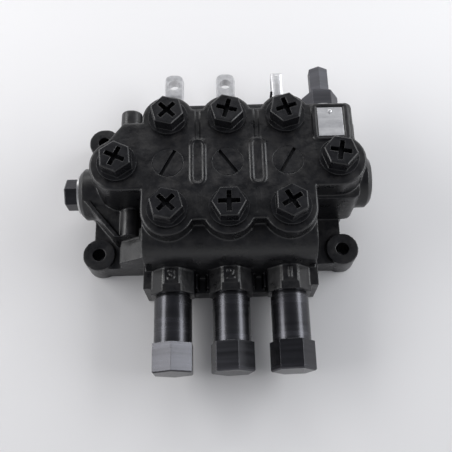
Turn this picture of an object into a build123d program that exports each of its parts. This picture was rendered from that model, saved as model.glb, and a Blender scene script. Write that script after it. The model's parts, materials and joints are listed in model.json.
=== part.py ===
from build123d import *
from math import cos, radians, sin
import os

os.makedirs("parts", exist_ok=True)

# Sections: three spools side by side along X, each sliding along Y
section_pitch = 38.0
deck_height = 70.0
spool_axis_height = 24.0
work_port_reach = 32.0
side_port_reach = 70.0
section_places = [-section_pitch, 0.0, section_pitch]

# Outline of the casting
work_lobe_radius = 17.0
side_lobe_radius = 18.0
core_half_depth = 39.0
deck_edge_round = 1.5
front_face = 59.0
hood_top = 60.0
hood_round = 16.0
web_face = 70.0
web_top = 12.0
web_rib_face = 68.0
web_rib_top = 20.0
web_rib_spacing = 7.0
web_rib_thickness = 1.6
end_plate_face = 71.0
end_plate_outer = 57.0
end_plate_top = 31.0
end_boss_face = 75.0
end_boss_across = 28.6
boss_strip_face = 70.0
boss_strip_width = 9.4
boss_strip_height = 0.8
rear_face = 60.0
rear_block_top = 40.0
rear_block_half_width = 52.5
deck_notch_half_width = 50.0
block_corner_round = 5.0

# Mounting feet
foot_left_reach = 89.0
foot_right_reach = 76.5
foot_pair_reach = 43.0
foot_radius = 11.0
foot_height = 20.0
foot_plate_height = 17.0
foot_hole_radius = 4.25
foot_plate_reach = 52.5
foot_plate_left = 93.0

# Side bosses, where the cross galleries come out
side_boss_radius = 18.0
left_boss_face = 101.5
right_boss_face = 95.0
right_gallery_height = 35.0
side_boss_round = 3.0

# Forms on the left end of the casting
shelf_height = 36.0
shelf_outer = 99.0
shelf_outer_front = 9.0
shelf_inner = 76.0
shelf_inner_front = 37.0
shelf_rib_width = 4.0
shelf_rib_height = 2.5
pad_left = 73.5
pad_right = 48.0
pad_rear = 31.0
pad_height = 28.0
pad_inner_height = 45.0
pad_corner_round = 11.0
ridge_radius = 6.5
ridge_height = 34.5
ridge_front = 37.0
blank_boss_reach = 66.0
blank_boss_rear = 52.0
blank_boss_radius = 7.3
blank_boss_height = 42.0
deck_shoulder_outer = 78.5
deck_shoulder_outer_rear = 14.4
deck_shoulder_inner = 67.0
deck_shoulder_rear = 29.7

# Inlet end of the casting, on the right
inlet_block_right = 85.5
inlet_block_front = 20.0
inlet_block_rear = 39.0
inlet_block_height = 53.0
inlet_undercut_right = 78.0
inlet_undercut_height = 16.0
relief_block_right = 81.5
relief_block_front = 12.0
relief_block_rear = 41.0
relief_corner_round = 4.0
relief_base_rear = 50.0
relief_base_height = 54.0
plate_rim_width = 1.8
plate_rim_height = 1.0

# Relief opening, bored along Y
relief_reach = 67.0
relief_axis_height = 38.0
relief_bore_radius = 9.0
relief_seat_place = 20.0
relief_face = 52.0

# Ribs and grooves on the deck
loop_width = 10.0
loop_length = 33.0
loop_wall = 1.8
loop_height = 0.8
notch_groove_width = 3.2
notch_groove_depth = 0.9
line_groove_width = 0.9
line_groove_spacing = 3.2
line_groove_depth = 0.7
line_groove_length = 17.0

# Spools and the galleries that they open and close
spool_radius = 8.0
running_clearance = 0.02
thread_clearance = 0.05
seat_clearance = 0.1
gallery_groove_radius = 11.0
bypass_groove_width = 8.0
bridge_place = 15.0
bridge_groove_width = 5.0
work_groove_place = 28.0
work_groove_width = 8.0
tank_place = 43.0
tank_groove_width = 5.0
gallery_radius = 5.0
tank_gallery_radius = 4.0
tank_gallery_height = 18.0
parallel_gallery_radius = 3.5
parallel_gallery_height = 39.0
bridge_core_radius = 2.6
bridge_core_height = 46.5
port_core_radius = 6.0
port_core_overlap = 2.0
tank_link_reach = 66.0
waist_radius = 5.2
bypass_waist_half = 6.5
work_waist_inner = 20.5
work_waist_outer = 35.5
metering_notch_radius = 1.4
metering_notch_length = 2.2
metering_notch_count = 4
spool_front_end = 56.0
tongue_start = 70.5
tongue_tip = 94.2
tongue_width = 14.1
tongue_thickness = 7.8
tongue_hole_radius = 4.0
tongue_hole_setback = 8.6
tongue_corner_round = 5.5
tongue_turns = [0.0, 0.0, 90.0]

# Spool seals and wipers
seal_place = 48.0
seal_width = 2.6
seal_depth = 2.2
wiper_width = 4.0
wiper_depth = 2.6
retainer_thickness = 3.0
retainer_half_height = 11.2
retainer_overhang = 17.0
retainer_hole_clearance = 0.6
retainer_screw_drop = 6.5
retainer_screw_radius = 2.5
retainer_screw_length = 10.0
retainer_head_radius = 4.25
retainer_head_height = 5.0
retainer_socket_across = 4.0
retainer_socket_depth = 2.5
locating_pin_radius = 0.9
locating_pin_offset = 7.0
locating_pin_height = 19.0
locating_pin_depth = 6.0
locating_pin_setback = 3.0

# Spring caps and the centring springs in them
cap_radius = 12.3
cap_end = 125.0
cap_neck_length = 2.5
cap_neck_radius = 11.2
cap_hex_across = 25.0
cap_hex_length = 18.5
cap_bore_radius = 8.6
cap_end_wall = 6.0
cap_thread_radius = 10.8
cap_thread_length = 7.0
cap_edge_chamfer = 0.8
cap_turns = [30.0, 16.0, 8.0]
washer_thickness = 2.0
stud_thread_radius = 3.0
stud_thread_length = 9.0
stud_radius = 4.0
stud_collar_radius = 7.0
stud_collar_thickness = 4.0
stud_tail_length = 6.0
stud_socket_across = 4.0
stud_socket_depth = 3.0
centring_wire = 1.7
centring_coil_radius = 5.9
centring_turns = 4.0

# Load checks under the slotted plugs
check_plug_radius = 9.5
check_plug_depth = 12.0
check_plug_slot_width = 2.2
check_plug_slot_depth = 2.4
check_slot_turns = [62.0, -55.0, 60.0]
check_seal_width = 2.0
check_seal_depth = 1.2
check_cavity_radius = 7.0
check_seat_height = 44.0
check_poppet_length = 11.0
check_passage_radius = 3.6
check_poppet_wall = 2.2
check_nose_height = 2.0
check_wire = 0.9
check_coil_radius = 3.2
check_turns = 4.0

# Ports and the plastic plugs that close them
port_thread_radius = 8.3
port_thread_depth = 14.0
plug_flange_radius = 12.7
plug_flange_height = 2.3
plug_hex_across = 19.0
plug_hex_height = 9.0
plug_hex_chamfer = 0.8
plug_spigot_length = 11.0
plug_cross_length = 13.5
plug_cross_width = 3.0
plug_cross_depth = 6.0
plug_turns_a = [45.0, -15.0, 17.0]
plug_turns_b = [45.0, 0.0, 30.0]
plug_turn_left = -25.0
plug_turn_right = -12.0

# Steel plugs at the ends of the cross galleries
side_plug_radius = 10.4
side_plug_length = 12.0
side_plug_hex_across = 19.0
side_plug_hex_height = 9.5
side_seal_outer = 13.5
side_seal_thickness = 1.5
side_socket_across = 10.0
side_socket_depth = 6.0

# Relief valve
relief_nut_across = 22.0
relief_nut_length = 12.5
relief_nut_chamfer = 1.4
relief_washer_radius = 11.5
relief_washer_thickness = 1.6
relief_spring_bore_radius = 5.6
relief_guide_length = 12.0
relief_nose_radius = 7.0
relief_chamber_radius = 7.6
relief_chamber_length = 10.0
relief_poppet_radius = 4.0
relief_seat_length = 3.0
relief_poppet_gap = 0.3
relief_poppet_head = 2.0
relief_hole_radius = 2.6
relief_drain_radius = 1.2
relief_drain_core_radius = 2.4
relief_passage_radius = 4.0
relief_seat_plate_thickness = 3.0
relief_seat_plate_place = 47.0
relief_screw_radius = 3.0
relief_screw_end = 76.0
relief_screw_socket_across = 3.0
relief_screw_socket_depth = 2.5
relief_neck_length = 5.0
relief_end_wall = 6.0
relief_cap_across = 13.0
relief_cap_end = 87.4
relief_cap_wall = 2.4
relief_cap_end_wall = 5.4
relief_seal_hole_radius = 0.9
relief_wire = 1.2
relief_coil_radius = 4.2
relief_turns = 4.5

# Name plate, left bare
plate_width = 16.3
plate_length = 21.0
plate_thickness = 0.5
rivet_radius = 1.5
rivet_height = 0.9
rivet_shank_radius = 0.9
rivet_depth = 4.0
rivet_setback = 3.0


def towards_rear(x, y, z):
    """Plane that faces the rear, with X to the right in it."""
    return Plane(origin=(x, y, z), x_dir=(1, 0, 0), z_dir=(0, 1, 0))


def towards_front(x, y, z):
    """Plane that faces the front, with X to the right and Z up in it."""
    return Plane(origin=(x, y, z), x_dir=(1, 0, 0), z_dir=(0, -1, 0))


def towards_right(x, y, z):
    """Plane that faces the right end, with Y to the right and Z up in it."""
    return Plane(origin=(x, y, z), x_dir=(0, 1, 0), z_dir=(1, 0, 0))


def towards_left(x, y, z):
    """Plane that faces the left end, with Z up in it."""
    return Plane(origin=(x, y, z), x_dir=(0, -1, 0), z_dir=(-1, 0, 0))


def save(piece, name):
    """Label one finished piece and write its STEP file."""
    piece.label = name
    export_step(piece, "parts/" + name + ".step")


# Places that follow from the driving dimensions
axis_z = spool_axis_height
spool_bore_radius = spool_radius + running_clearance
half_width = section_pitch + work_lobe_radius
section_row = [(x, 0) for x in section_places]
work_places = [(x, side * work_port_reach) for x in section_places for side in (1, -1)]
side_places = [(-side_port_reach, 0), (side_port_reach, 0)]
port_floor = deck_height - port_thread_depth
check_floor = deck_height - check_plug_depth
boss_face = end_boss_face
boss_top = axis_z + end_boss_across / 2
thread_floor = boss_face - cap_thread_length - washer_thickness
feet = [(-foot_left_reach, foot_pair_reach), (-foot_left_reach, -foot_pair_reach),
        (foot_right_reach, -foot_pair_reach)]
plate_centre = (relief_block_front + relief_block_rear) / 2
loop_places = [(-section_pitch / 2, 0), (section_pitch / 2, 0)]
retainer_screws = [(side * section_pitch / 2, axis_z - retainer_screw_drop) for side in (-1, 1)]
pin_place = (section_pitch - locating_pin_offset, rear_face - locating_pin_setback)
plate_top = deck_height + plate_thickness
rivet_place = (relief_reach, plate_centre + plate_length / 2 - rivet_setback)
groove_bands = [(0, bypass_groove_width)]
for side in (-1, 1):
    groove_bands.append((side * bridge_place, bridge_groove_width))
    groove_bands.append((side * work_groove_place, work_groove_width))
    groove_bands.append((side * tank_place, tank_groove_width))

# Valve body: one casting with lobes for the ports, feet, bosses and cored galleries
with BuildPart() as valve_body:
    # Deck column with a lobe round every port
    with BuildSketch(Plane.XY):
        Rectangle(2 * half_width, 2 * work_port_reach)
        Rectangle(2 * deck_notch_half_width, 2 * core_half_depth)
        with Locations(*work_places):
            Circle(work_lobe_radius)
        with Locations(*side_places):
            Circle(side_lobe_radius)
        Rectangle(2 * side_port_reach, 2 * side_lobe_radius)
        with BuildLine():
            Polyline((-section_pitch, 0), (-deck_shoulder_outer, deck_shoulder_outer_rear),
                     (-deck_shoulder_inner, deck_shoulder_rear),
                     (-section_pitch, deck_shoulder_rear), close=True)
        make_face()
        with Locations(((section_pitch + relief_block_right) / 2, relief_block_rear / 2)):
            RectangleRounded(relief_block_right - section_pitch, relief_block_rear, relief_corner_round)
    extrude(amount=deck_height)
    fillet(valve_body.edges().group_by(Axis.Z)[-1], radius=deck_edge_round)
    # Hood along the front, rounded over its upper edge, and the block along the rear
    with BuildSketch(towards_right(-half_width, 0, 0)):
        with BuildLine():
            Polyline((-front_face, hood_top - hood_round), (-front_face, 0), (0, 0), (0, hood_top),
                     (hood_round - front_face, hood_top))
            CenterArc((hood_round - front_face, hood_top - hood_round), hood_round, 90, 90)
        make_face()
    extrude(amount=2 * half_width)
    with BuildSketch(Plane.XY):
        with Locations((0, rear_face / 2)):
            Rectangle(2 * rear_block_half_width, rear_face)
    extrude(amount=rear_block_top)
    # Eight-sided boss round each spool end
    with BuildSketch(towards_front(0, 0, axis_z)):
        with Locations(*section_row):
            RegularPolygon(end_boss_across / 2, 8, major_radius=False, rotation=22.5)
    extrude(amount=boss_face)
    with BuildSketch(Plane.XY.offset(axis_z)):
        with Locations(*[(x, -boss_strip_face / 2) for x in section_places]):
            Rectangle(boss_strip_width, boss_strip_face)
    extrude(amount=boss_top + boss_strip_height - axis_z)
    # Web under the bosses, its upright ribs and the plates at its two ends
    with BuildSketch(Plane.XY):
        with Locations((0, -web_face / 2)):
            Rectangle(2 * half_width, web_face)
    extrude(amount=web_top)
    rib_places = [side * section_pitch / 2 + turn * web_rib_spacing / 2 for side in (-1, 1) for turn in (-1, 1)]
    with BuildSketch(Plane.XY):
        with Locations(*[(x, -web_rib_face / 2) for x in rib_places]):
            Rectangle(web_rib_thickness, web_rib_face)
    extrude(amount=web_rib_top)
    with BuildSketch(Plane.XY):
        with Locations(*[(side * (section_pitch + end_plate_outer) / 2, -end_plate_face / 2)
                         for side in (-1, 1)]):
            Rectangle(end_plate_outer - section_pitch, end_plate_face)
    extrude(amount=end_plate_top)
    # Feet and the plate between them
    with BuildSketch(Plane.XY):
        with Locations((-(foot_plate_left + section_pitch) / 2, 0)):
            Rectangle(foot_plate_left - section_pitch, 2 * foot_pair_reach)
        with Locations((-(foot_left_reach + section_pitch) / 2, 0)):
            Rectangle(foot_left_reach - section_pitch, 2 * foot_plate_reach)
        with Locations(((foot_right_reach + section_pitch) / 2, -foot_plate_reach / 2)):
            Rectangle(foot_right_reach - section_pitch, foot_plate_reach)
    extrude(amount=foot_plate_height)
    with BuildSketch(Plane.XY):
        with Locations(*feet):
            Circle(foot_radius)
    extrude(amount=foot_height)
    # Round bosses at the two ends
    with BuildSketch(towards_left(-section_pitch, 0, axis_z)):
        Circle(side_boss_radius)
    extrude(amount=left_boss_face - section_pitch)
    with BuildSketch(towards_right(section_pitch, 0, right_gallery_height)):
        Circle(side_boss_radius)
    extrude(amount=right_boss_face - section_pitch)
    rims = valve_body.edges().filter_by(GeomType.CIRCLE).sort_by(Axis.X)
    chamfer([rims[0], rims[-1]], length=side_boss_round)
    # Shelf on the left end, with a rib along its slanting edge
    shelf_corners = [(-shelf_outer, -shelf_outer_front), (-shelf_inner, -shelf_inner_front)]
    with BuildSketch(Plane.XY):
        with BuildLine():
            Polyline((-shelf_outer, 0), *shelf_corners, (-section_pitch, -shelf_inner_front),
                     (-section_pitch, 0), close=True)
        make_face()
    extrude(amount=shelf_height)
    with BuildSketch(Plane.XY.offset(shelf_height)):
        with BuildLine():
            Polyline(*shelf_corners, (shelf_rib_width - shelf_inner, -shelf_inner_front),
                     (shelf_rib_width - shelf_outer, -shelf_outer_front), close=True)
        make_face()
    extrude(amount=shelf_rib_height)
    # Sloping pad over the front tank gallery
    with BuildSketch(Plane.XY):
        with BuildLine():
            Polyline((-pad_left, -foot_plate_reach), (-pad_left, -pad_rear), (-pad_right, -pad_rear),
                     (-pad_right, -foot_plate_reach), close=True)
        make_face()
        fillet(vertices().group_by(Axis.Y)[-1].sort_by(Axis.X)[0], radius=pad_corner_round)
    pad = extrude(amount=pad_inner_height, mode=Mode.PRIVATE)
    slope = Plane(origin=(-pad_left, 0, pad_height),
                  z_dir=(pad_height - pad_inner_height, 0, pad_left - pad_right))
    add(pad.split(slope, keep=Keep.BOTTOM))
    # Ridge over the gallery that joins the tank galleries
    with BuildSketch(Plane.XY):
        with Locations((-tank_link_reach, -ridge_front / 2)):
            Rectangle(2 * ridge_radius, ridge_front)
    extrude(amount=ridge_height)
    with BuildSketch(towards_front(-tank_link_reach, 0, ridge_height)):
        Circle(ridge_radius)
    extrude(amount=ridge_front)
    # Blank boss over the rear tank gallery
    with BuildSketch(Plane.XY):
        with Locations((-blank_boss_reach, blank_boss_rear / 2)):
            Rectangle(2 * blank_boss_radius, blank_boss_rear)
    extrude(amount=blank_boss_height)
    with BuildSketch(towards_rear(-blank_boss_reach, 0, blank_boss_height)):
        Circle(blank_boss_radius)
    extrude(amount=blank_boss_rear)
    # Inlet end: a squared block under the port and the seat of the relief valve behind it
    with BuildSketch(Plane.XY):
        with Locations(((section_pitch + inlet_block_right) / 2, (inlet_block_rear - inlet_block_front) / 2)):
            RectangleRounded(inlet_block_right - section_pitch, inlet_block_rear + inlet_block_front,
                             block_corner_round)
    extrude(amount=inlet_block_height)
    with BuildSketch(Plane.XY):
        with Locations(((section_pitch + relief_block_right) / 2, relief_base_rear / 2)):
            Rectangle(relief_block_right - section_pitch, relief_base_rear)
    extrude(amount=relief_base_height)
    with BuildSketch(Plane.XY):
        with Locations(((inlet_undercut_right + right_boss_face) / 2, (relief_face - inlet_block_front) / 2)):
            Rectangle(right_boss_face - inlet_undercut_right, relief_face + inlet_block_front)
    extrude(amount=inlet_undercut_height, mode=Mode.SUBTRACT)
    with BuildSketch(towards_rear(relief_reach, 0, relief_axis_height)):
        Circle(relief_nut_across / 2 + relief_nut_chamfer)
    extrude(amount=relief_face)
    # Raised rim round the name plate, and the raised loops between the load checks
    with BuildSketch(Plane.XY.offset(deck_height)):
        with Locations((relief_reach, plate_centre)):
            RectangleRounded(plate_width + 4 * plate_rim_width, plate_length + 3 * plate_rim_width,
                             block_corner_round / 2)
            Rectangle(plate_width + plate_rim_width, plate_length + plate_rim_width, mode=Mode.SUBTRACT)
    extrude(amount=plate_rim_height)
    with BuildSketch(Plane.XY.offset(deck_height)):
        with Locations(*loop_places):
            SlotOverall(loop_length, loop_width, rotation=90)
            SlotOverall(loop_length - 2 * loop_wall, loop_width - 2 * loop_wall, rotation=90,
                        mode=Mode.SUBTRACT)
    extrude(amount=loop_height)
    # Grooves that mark the sections on the deck
    with BuildSketch(Plane.XY.offset(deck_height)):
        with Locations(*[(x, (core_half_depth + loop_length / 2) / 2) for x, y in loop_places]):
            Rectangle(notch_groove_width, core_half_depth - loop_length / 2)
    extrude(amount=-notch_groove_depth, mode=Mode.SUBTRACT)
    line_middle = -(loop_length + line_groove_length) / 2 - loop_wall
    with BuildSketch(Plane.XY.offset(deck_height)):
        with Locations(*[(x + side * line_groove_spacing / 2, line_middle)
                         for x, y in loop_places for side in (-1, 1)]):
            SlotOverall(line_groove_length, line_groove_width, rotation=90)
    extrude(amount=-line_groove_depth, mode=Mode.SUBTRACT)
    # Spool bores with their annular galleries, seal glands and threaded mouths
    bore_steps = [(spool_bore_radius, -boss_face, rear_face),
                  (cap_thread_radius + thread_clearance, -boss_face, -thread_floor),
                  (spool_radius + wiper_depth, rear_face - wiper_width, rear_face)]
    for middle, width in groove_bands:
        bore_steps.append((gallery_groove_radius, middle - width / 2, middle + width / 2))
    for side in (-1, 1):
        low = side * seal_place - seal_width / 2
        bore_steps.append((spool_radius + seal_depth, low, low + seal_width))
    for radius, low, high in bore_steps:
        with BuildSketch(towards_rear(0, low, axis_z)):
            with Locations(*section_row):
                Circle(radius)
        extrude(amount=high - low, mode=Mode.SUBTRACT)
    # Open-centre gallery through the middle of every spool, out to the left boss
    with BuildSketch(towards_right(-left_boss_face, 0, axis_z)):
        Circle(gallery_radius)
    extrude(amount=left_boss_face + side_port_reach, mode=Mode.SUBTRACT)
    # Inlet gallery from the right boss, and the parallel gallery that feeds the load checks
    with BuildSketch(towards_right(side_port_reach, 0, right_gallery_height)):
        Circle(gallery_radius)
    extrude(amount=right_boss_face - side_port_reach, mode=Mode.SUBTRACT)
    with BuildSketch(towards_left(side_port_reach, 0, parallel_gallery_height)):
        Circle(parallel_gallery_radius)
    extrude(amount=side_port_reach + section_pitch + parallel_gallery_radius, mode=Mode.SUBTRACT)
    # Tank galleries across both ends of the spools, joined beside the left port
    for side, reach in ((-1, section_pitch), (1, relief_reach)):
        with BuildSketch(towards_right(-tank_link_reach, side * tank_place, tank_gallery_height)):
            Circle(tank_gallery_radius)
        extrude(amount=tank_link_reach + reach, mode=Mode.SUBTRACT)
    with BuildSketch(towards_rear(-tank_link_reach, -tank_place, tank_gallery_height)):
        Circle(tank_gallery_radius)
    extrude(amount=2 * tank_place, mode=Mode.SUBTRACT)
    # Work ports and side ports
    work_core_floor = axis_z + gallery_groove_radius - port_core_overlap
    port_steps = [(work_places + side_places, port_thread_radius + thread_clearance, deck_height, port_floor),
                  (work_places, port_core_radius, port_floor, work_core_floor),
                  (side_places, port_core_radius, port_floor, axis_z)]
    for places, radius, high, low in port_steps:
        with BuildSketch(Plane.XY.offset(low)):
            with Locations(*places):
                Circle(radius)
        extrude(amount=high - low, mode=Mode.SUBTRACT)
    # Load check cavities, their seats and the bridge cores down to the spools
    bridge_row = [(x, side * bridge_place) for x in section_places for side in (-1, 1)]
    check_steps = [(section_row, check_plug_radius + thread_clearance, deck_height, check_floor),
                   (section_row, check_cavity_radius, check_floor, check_seat_height),
                   (section_row, check_passage_radius, check_seat_height, parallel_gallery_height),
                   (bridge_row, bridge_core_radius, bridge_core_height, axis_z)]
    for places, radius, high, low in check_steps:
        with BuildSketch(Plane.XY.offset(low)):
            with Locations(*places):
                Circle(radius)
        extrude(amount=high - low, mode=Mode.SUBTRACT)
    with BuildSketch(towards_rear(0, -bridge_place, bridge_core_height)):
        with Locations(*section_row):
            Circle(bridge_core_radius)
    extrude(amount=2 * bridge_place, mode=Mode.SUBTRACT)
    # Relief valve bore, its feed from the inlet and its drain to the tank gallery
    relief_thread_floor = relief_seat_place + relief_chamber_length
    with BuildSketch(towards_front(relief_reach, relief_face, relief_axis_height)):
        Circle(relief_bore_radius + thread_clearance)
    extrude(amount=relief_face - relief_thread_floor, mode=Mode.SUBTRACT)
    with BuildSketch(towards_front(relief_reach, relief_thread_floor, relief_axis_height)):
        Circle(relief_chamber_radius)
    extrude(amount=relief_chamber_length, mode=Mode.SUBTRACT)
    with BuildSketch(towards_front(relief_reach, relief_seat_place, relief_axis_height)):
        Circle(relief_passage_radius)
    extrude(amount=relief_seat_place, mode=Mode.SUBTRACT)
    drain_place = relief_seat_place + relief_chamber_length / 2
    with BuildSketch(Plane(origin=(relief_reach, drain_place, relief_axis_height))):
        Circle(relief_drain_core_radius)
    extrude(amount=tank_gallery_height - relief_axis_height, mode=Mode.SUBTRACT)
    with BuildSketch(towards_rear(relief_reach, drain_place, tank_gallery_height)):
        Circle(relief_drain_core_radius)
    extrude(amount=tank_place - drain_place, mode=Mode.SUBTRACT)
    # Threads for the plugs in the two end bosses
    with BuildSketch(towards_right(-left_boss_face, 0, axis_z)):
        Circle(side_plug_radius + thread_clearance)
    extrude(amount=side_plug_length + seat_clearance, mode=Mode.SUBTRACT)
    with BuildSketch(towards_left(right_boss_face, 0, right_gallery_height)):
        Circle(side_plug_radius + thread_clearance)
    extrude(amount=side_plug_length + seat_clearance, mode=Mode.SUBTRACT)
    # Holes for the feet, the retainer screws, the pin and the rivet
    with BuildSketch(Plane.XY):
        with Locations(*feet):
            Circle(foot_hole_radius)
    extrude(amount=foot_height, mode=Mode.SUBTRACT)
    with BuildSketch(towards_front(0, rear_face, 0)):
        with Locations(*retainer_screws):
            Circle(retainer_screw_radius + thread_clearance)
    extrude(amount=retainer_screw_length, mode=Mode.SUBTRACT)
    with BuildSketch(Plane(origin=(*pin_place, rear_block_top))):
        Circle(locating_pin_radius)
    extrude(amount=-locating_pin_depth, mode=Mode.SUBTRACT)
    with BuildSketch(Plane(origin=(*rivet_place, deck_height))):
        Circle(rivet_shank_radius)
    extrude(amount=-rivet_depth, mode=Mode.SUBTRACT)
save(valve_body.part, "valve_body")

# Plastic plugs that close the ports: flange, hexagon with a crossed recess, threaded spigot
port_plugs = [("port_plug_left", *side_places[0], plug_turn_left),
              ("port_plug_right", *side_places[1], plug_turn_right)]
for number, x in enumerate(section_places):
    port_plugs.append((f"port_plug_a{number + 1}", x, work_port_reach, plug_turns_a[number]))
    port_plugs.append((f"port_plug_b{number + 1}", x, -work_port_reach, plug_turns_b[number]))
plug_top = deck_height + plug_flange_height + plug_hex_height
for name, x, y, turn in port_plugs:
    with BuildPart() as port_plug:
        with BuildSketch(Plane(origin=(x, y, deck_height))):
            Circle(plug_flange_radius)
        extrude(amount=plug_flange_height)
        with BuildSketch(Plane(origin=(x, y, deck_height + plug_flange_height))):
            RegularPolygon(plug_hex_across / 2, 6, major_radius=False, rotation=turn)
        extrude(amount=plug_hex_height)
        chamfer(port_plug.edges().group_by(Axis.Z)[-1], length=plug_hex_chamfer)
        with BuildSketch(Plane(origin=(x, y, deck_height))):
            Circle(port_thread_radius)
        extrude(amount=-plug_spigot_length)
        with BuildSketch(Plane(origin=(x, y, plug_top))):
            Rectangle(plug_cross_length, plug_cross_width, rotation=turn)
            Rectangle(plug_cross_length, plug_cross_width, rotation=turn + 90)
        extrude(amount=-plug_cross_depth, mode=Mode.SUBTRACT)
    save(port_plug.part, name)

# Load checks: slotted plug with its seal, poppet and spring
check_poppet_top = check_seat_height + check_poppet_length
for number, x in enumerate(section_places):
    with BuildPart() as check_plug:
        with BuildSketch(Plane(origin=(x, 0, check_floor))):
            Circle(check_plug_radius)
        extrude(amount=check_plug_depth)
        with BuildSketch(Plane(origin=(x, 0, deck_height))):
            Rectangle(3 * check_plug_radius, check_plug_slot_width, rotation=check_slot_turns[number])
        extrude(amount=-check_plug_slot_depth, mode=Mode.SUBTRACT)
        with BuildSketch(Plane(origin=(x, 0, check_floor + check_seal_width))):
            Circle(check_plug_radius)
            Circle(check_plug_radius - check_seal_depth, mode=Mode.SUBTRACT)
        extrude(amount=check_seal_width, mode=Mode.SUBTRACT)
    save(check_plug.part, f"load_check_plug_{number + 1}")
    with BuildPart() as check_poppet:
        with BuildSketch(Plane(origin=(x, 0, check_seat_height))):
            Circle(check_cavity_radius - running_clearance)
        extrude(amount=check_poppet_length)
        with BuildSketch(Plane(origin=(x, 0, check_seat_height))):
            Circle(check_passage_radius - seat_clearance)
        extrude(amount=-check_nose_height, taper=20)
        with BuildSketch(Plane(origin=(x, 0, check_poppet_top))):
            Circle(check_cavity_radius - check_poppet_wall)
        extrude(amount=check_poppet_wall - check_poppet_length, mode=Mode.SUBTRACT)
    save(check_poppet.part, f"load_check_poppet_{number + 1}")
with BuildPart() as check_seals:
    for x in section_places:
        with BuildSketch(Plane(origin=(x, 0, check_floor + check_seal_width))):
            Circle(check_plug_radius)
            Circle(check_plug_radius - check_seal_depth, mode=Mode.SUBTRACT)
        extrude(amount=check_seal_width)
save(check_seals.part, "load_check_seals")


def coil_spring(direction, length, coil_radius, wire, turns):
    """Spring wound from the origin along one direction, a little short of the room that it has."""
    wound = length - wire - 2 * seat_clearance
    first = Vector(*direction) * (wire / 2 + seat_clearance)
    with BuildPart() as spring:
        with BuildLine() as path:
            Helix(pitch=wound / turns, height=wound, radius=coil_radius, center=first, direction=direction)
        with BuildSketch(Plane(origin=path.line @ 0, z_dir=path.line % 0)):
            RegularPolygon(wire / 2, 6)
        sweep(is_frenet=True)
    return spring.part


check_spring_floor = check_seat_height + check_poppet_wall
check_spring = coil_spring((0, 0, 1), check_floor - check_spring_floor, check_coil_radius, check_wire,
                           check_turns)
for number, x in enumerate(section_places):
    save(check_spring.moved(Location((x, 0, check_spring_floor))), f"load_check_spring_{number + 1}")

# Spools: three waists open the galleries, notches on the lands meter the flow
spool_length = spool_front_end + tongue_start
hole_place = tongue_tip - tongue_hole_setback
waists = [(-bypass_waist_half, bypass_waist_half), (work_waist_inner, work_waist_outer),
          (-work_waist_outer, -work_waist_inner)]
metering_edges = [(work_waist_inner, -1), (work_waist_outer, 1),
                  (-work_waist_inner, 1), (-work_waist_outer, -1)]
for number, x in enumerate(section_places):
    turn = tongue_turns[number]
    with BuildPart() as spool:
        with BuildSketch(towards_rear(x, -spool_front_end, axis_z)):
            Circle(spool_radius)
        extrude(amount=spool_length)
        for low, high in waists:
            with BuildSketch(towards_rear(x, low, axis_z)):
                Circle(spool_radius)
                Circle(waist_radius, mode=Mode.SUBTRACT)
            extrude(amount=high - low, mode=Mode.SUBTRACT)
        for edge, way in metering_edges:
            with BuildSketch(towards_rear(x, edge, axis_z)):
                with PolarLocations(spool_radius, metering_notch_count):
                    Circle(metering_notch_radius)
            extrude(amount=way * metering_notch_length, mode=Mode.SUBTRACT)
        # Tongue: a flat end with a cross hole for the lever or the link
        tongue_plane = Plane(origin=(x, tongue_start, axis_z), x_dir=(cos(radians(turn)), 0, sin(radians(turn))),
                             z_dir=(0, 1, 0))
        with BuildSketch(tongue_plane):
            Circle(tongue_width / 2)
            Rectangle(2 * tongue_width, tongue_thickness, mode=Mode.INTERSECT)
        extrude(amount=tongue_tip - tongue_start)
        side_plane = Plane(origin=(x, hole_place, axis_z), x_dir=(0, 1, 0),
                           z_dir=(-sin(radians(turn)), 0, cos(radians(turn))))
        with BuildSketch(side_plane):
            with Locations((tongue_hole_setback / 2, 0)):
                Rectangle(tongue_hole_setback, 2 * tongue_width)
            RectangleRounded(2 * tongue_hole_setback, tongue_width + 2 * thread_clearance,
                             tongue_corner_round, mode=Mode.SUBTRACT)
        extrude(amount=spool_radius, both=True, mode=Mode.SUBTRACT)
        with BuildSketch(side_plane):
            Circle(tongue_hole_radius)
        extrude(amount=spool_radius, both=True, mode=Mode.SUBTRACT)
        # Tapped hole for the centring stud
        with BuildSketch(towards_rear(x, -spool_front_end, axis_z)):
            Circle(stud_thread_radius + thread_clearance)
        extrude(amount=stud_thread_length + seat_clearance, mode=Mode.SUBTRACT)
    save(spool.part, f"spool_{number + 1}")

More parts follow.
